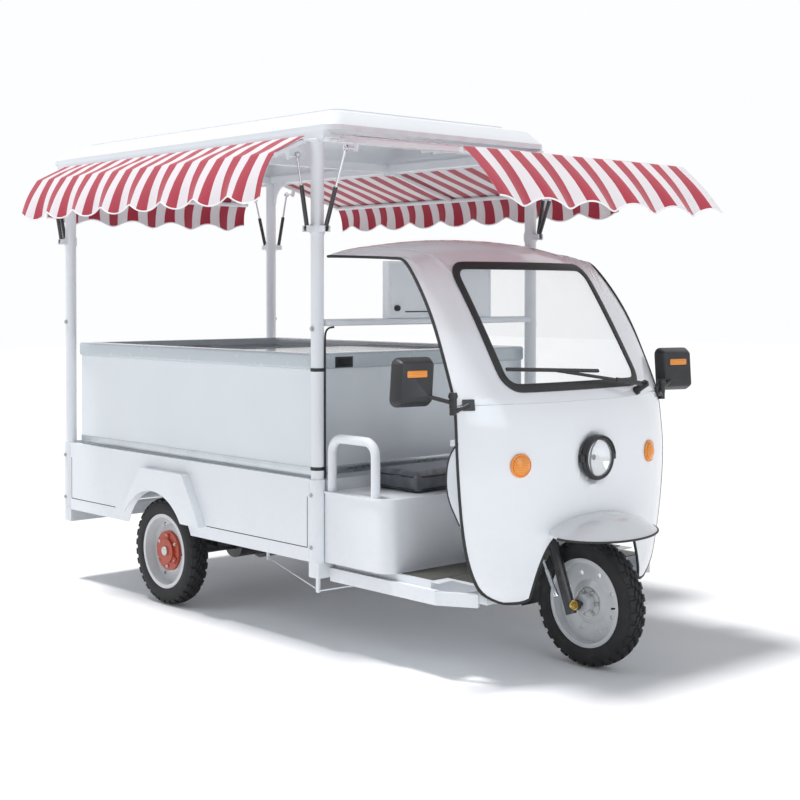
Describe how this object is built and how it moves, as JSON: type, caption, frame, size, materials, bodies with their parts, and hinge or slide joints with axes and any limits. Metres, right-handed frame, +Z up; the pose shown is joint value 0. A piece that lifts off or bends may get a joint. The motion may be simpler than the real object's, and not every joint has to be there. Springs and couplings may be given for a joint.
{
  "type": "ice cream tricycle",
  "caption": "Electric cargo tricycle with a moulded cab, a chest freezer with sliding glass lids under a posted roof, and fold-down striped awnings for serving ice cream.",
  "frame": {"origin": "on the ground midway between the front and rear axles, on the centre plane", "axes": "+X forward, +Y to the vehicle's left, +Z up"},
  "size_m": [3.2918, 2.0127, 2.135],
  "materials": {
    "white_paint": "gloss white enamel",
    "white_shell": "gloss white gel coat",
    "lining_white": "satin white",
    "black_rubber": "matt black rubber",
    "black_plastic": "satin black",
    "black_steel": "satin black paint",
    "glass": "clear",
    "lamp_glass": "clear",
    "amber": "amber lens",
    "freezer_skin": "satin pale grey white",
    "freezer_rim": "pale blue grey",
    "lid_glass": "clear",
    "vinyl": "dark vinyl",
    "battery": "matt",
    "zinc": "zinc plated",
    "tyre": "black tyre rubber",
    "rim_silver": "silver paint",
    "hub_red": "orange red paint",
    "awning_cloth": "striped awning cloth",
    "strut_black": "gloss black",
    "strut_rod": "chrome"
  },
  "bodies": {
    "vehicle": {"chassis_frame": "white_paint", "cab_top_shell": "white_shell", "cab_nose_shell": "white_shell", "cab_edge_trim": "black_rubber", "windscreen_seal": "black_rubber", "windscreen_glass": "glass", "front_visor": "white_shell", "headlamp_bucket": "black_plastic", "headlamp_lens": "lamp_glass", "turn_signals": "amber", "cab_lining": "lining_white", "cab_brackets": "black_plastic", "cargo_bed": "white_paint", "wheel_arches": "white_paint", "canopy_frame": "white_paint", "roof_shell": "white_shell", "control_box": "white_paint", "freezer_cabinet": "freezer_skin", "freezer_rim": "freezer_rim", "seat_box": "white_paint", "seat_cushion": "vinyl", "battery_pack": "battery", "fasteners": "zinc", "leaf_springs": "black_steel", "post_cable": "black_rubber"},
    "steering": {"fork_crown": "black_steel", "handlebar": "black_steel"},
    "throttle": {"throttle_grip": "black_rubber"},
    "fork_lower": {"fork_sliders": "black_steel"},
    "front_wheel": {"front_tyre": "tyre", "front_rim": "rim_silver"},
    "rear_axle_body": {"rear_axle": "black_steel"},
    "right_wheel": {"right_tyre": "tyre", "right_rim": "rim_silver", "right_hub_cap": "hub_red"},
    "left_wheel": {"left_tyre": "tyre", "left_rim": "rim_silver", "left_hub_cap": "hub_red"},
    "wiper": {"wiper_arm": "black_plastic"},
    "mirror_r": {"right_mirror": "black_plastic"},
    "mirror_l": {"left_mirror": "black_plastic"},
    "lid_rear": {"rear_lid": "lid_glass"},
    "lid_front": {"front_lid": "lid_glass"},
    "pedal": {"brake_pedal": "black_steel"},
    "front_awning": {"front_awning_frame": "white_paint", "front_awning_cloth": "awning_cloth"},
    "front_cylinders": {"front_strut_cylinders": "strut_black"},
    "front_rods": {"front_strut_rods": "strut_rod"},
    "right_awning": {"right_awning_frame": "white_paint", "right_awning_cloth": "awning_cloth"},
    "right_cylinders": {"right_strut_cylinders": "strut_black"},
    "right_rods": {"right_strut_rods": "strut_rod"},
    "left_awning": {"left_awning_frame": "white_paint", "left_awning_cloth": "awning_cloth"},
    "left_cylinders": {"left_strut_cylinders": "strut_black"},
    "left_rods": {"left_strut_rods": "strut_rod"},
    "rear_awning": {"rear_awning_frame": "white_paint", "rear_awning_cloth": "awning_cloth"},
    "rear_cylinders": {"rear_strut_cylinders": "strut_black"},
    "rear_rods": {"rear_strut_rods": "strut_rod"}
  },
  "joints": [
    {"name": "steer", "type": "hinge", "parent": "vehicle", "child": "steering", "pos_m": [0.955, 0, 0.24], "axis": [-0.342, 0, 0.9397], "range_deg": [-35, 35]},
    {"name": "throttle_twist", "type": "hinge", "parent": "steering", "child": "throttle", "pos_m": [0.6848, 0, 0.98236], "axis": [0, -1, 0], "range_deg": [0, 60], "stiffness_Nm_per_rad": 0.3, "springref_deg": -22.92},
    {"name": "fork_slide", "type": "slide", "parent": "steering", "child": "fork_lower", "axis": [-0.342, 0, 0.9397], "range_m": [0, 0.04], "stiffness_N_per_m": 40000, "springref_m": -0.1},
    {"name": "front_wheel_turn", "type": "hinge", "parent": "fork_lower", "child": "front_wheel", "pos_m": [0.99, 0, 0.24], "axis": [0, 1, 0], "continuous": true},
    {"name": "rear_axle_slide", "type": "slide", "parent": "vehicle", "child": "rear_axle_body", "axis": [0, 0, 1], "range_m": [0, 0.04], "stiffness_N_per_m": 100000, "springref_m": -0.1, "deforming": ["leaf_springs"]},
    {"name": "right_wheel_turn", "type": "hinge", "parent": "rear_axle_body", "child": "right_wheel", "pos_m": [-0.99, -0.565, 0.24], "axis": [0, 1, 0], "continuous": true},
    {"name": "left_wheel_turn", "type": "hinge", "parent": "rear_axle_body", "child": "left_wheel", "pos_m": [-0.99, 0.565, 0.24], "axis": [0, 1, 0], "continuous": true},
    {"name": "front_awning_hinge", "type": "hinge", "parent": "vehicle", "child": "front_awning", "pos_m": [0.21, 0, 1.995], "axis": [0, 1, 0], "range_deg": [0, 30], "stiffness_Nm_per_rad": 45, "springref_deg": -126.05},
    {"name": "front_cylinder_pivot", "type": "hinge", "parent": "vehicle", "child": "front_cylinders", "pos_m": [0.168, 0, 1.65], "axis": [0, 1, 0], "range_deg": [-2.95, 0]},
    {"name": "front_rod_slide", "type": "slide", "parent": "front_cylinders", "child": "front_rods", "axis": [0.3732, 0, 0.9277], "range_m": [-0.04564, 0]},
    {"name": "right_awning_hinge", "type": "hinge", "parent": "vehicle", "child": "right_awning", "pos_m": [0, -0.646, 1.995], "axis": [1, 0, 0], "range_deg": [0, 30], "stiffness_Nm_per_rad": 14, "springref_deg": -103.13},
    {"name": "right_cylinder_pivot", "type": "hinge", "parent": "vehicle", "child": "right_cylinders", "pos_m": [0, -0.662, 1.65], "axis": [1, 0, 0], "range_deg": [-7.31, 0]},
    {"name": "right_rod_slide", "type": "slide", "parent": "right_cylinders", "child": "right_rods", "axis": [0, -0.1721, 0.9851], "range_m": [-0.03054, 0]},
    {"name": "left_awning_hinge", "type": "hinge", "parent": "vehicle", "child": "left_awning", "pos_m": [0, 0.646, 1.995], "axis": [-1, 0, 0], "range_deg": [0, 32], "stiffness_Nm_per_rad": 36, "springref_deg": -114.59},
    {"name": "left_cylinder_pivot", "type": "hinge", "parent": "vehicle", "child": "left_cylinders", "pos_m": [0, 0.662, 1.65], "axis": [-1, 0, 0], "range_deg": [-6.53, 0]},
    {"name": "left_rod_slide", "type": "slide", "parent": "left_cylinders", "child": "left_rods", "axis": [0, 0.1925, 0.9813], "range_m": [-0.03799, 0]},
    {"name": "rear_awning_hinge", "type": "hinge", "parent": "vehicle", "child": "rear_awning", "pos_m": [-1.904, 0, 1.995], "axis": [0, -1, 0], "range_deg": [0, 20], "stiffness_Nm_per_rad": 10, "springref_deg": -103.13},
    {"name": "rear_cylinder_pivot", "type": "hinge", "parent": "vehicle", "child": "rear_cylinders", "pos_m": [-1.854, 0, 1.65], "axis": [0, -1, 0], "range_deg": [-5.53, 0]},
    {"name": "rear_rod_slide", "type": "slide", "parent": "rear_cylinders", "child": "rear_rods", "axis": [-0.3195, 0, 0.9476], "range_m": [-0.01751, 0]},
    {"name": "wiper_sweep", "type": "hinge", "parent": "vehicle", "child": "wiper", "pos_m": [0.94938, 0.31809, 1.01623], "axis": [-0.8401, 0.04, -0.541], "range_deg": [0, 55]},
    {"name": "right_mirror_turn", "type": "hinge", "parent": "vehicle", "child": "mirror_r", "pos_m": [0.862, -0.596, 1], "axis": [0, 0, 1], "range_deg": [-30, 25]},
    {"name": "left_mirror_turn", "type": "hinge", "parent": "vehicle", "child": "mirror_l", "pos_m": [0.862, 0.596, 1], "axis": [0, 0, 1], "range_deg": [-25, 30]},
    {"name": "rear_lid_slide", "type": "slide", "parent": "vehicle", "child": "lid_rear", "axis": [1, 0, 0], "range_m": [0, 0.78]},
    {"name": "front_lid_slide", "type": "slide", "parent": "vehicle", "child": "lid_front", "axis": [-1, 0, 0], "range_m": [0, 0.78]},
    {"name": "brake_pedal_press", "type": "hinge", "parent": "vehicle", "child": "pedal", "pos_m": [0.6, -0.19, 0.376], "axis": [0, 1, 0], "range_deg": [0, 18], "stiffness_Nm_per_rad": 12, "springref_deg": -20.05}
  ],
  "couplings": [
    {"joint": "front_cylinder_pivot", "follows": "front_awning_hinge", "ratio": -0.096602},
    {"joint": "front_rod_slide", "follows": "front_awning_hinge", "m_per_rad": -0.086596},
    {"joint": "right_cylinder_pivot", "follows": "right_awning_hinge", "ratio": -0.24199},
    {"joint": "right_rod_slide", "follows": "right_awning_hinge", "m_per_rad": -0.057751},
    {"joint": "left_cylinder_pivot", "follows": "left_awning_hinge", "ratio": -0.20242},
    {"joint": "left_rod_slide", "follows": "left_awning_hinge", "m_per_rad": -0.067488},
    {"joint": "rear_cylinder_pivot", "follows": "rear_awning_hinge", "ratio": -0.27373},
    {"joint": "rear_rod_slide", "follows": "rear_awning_hinge", "m_per_rad": -0.049289}
  ]
}
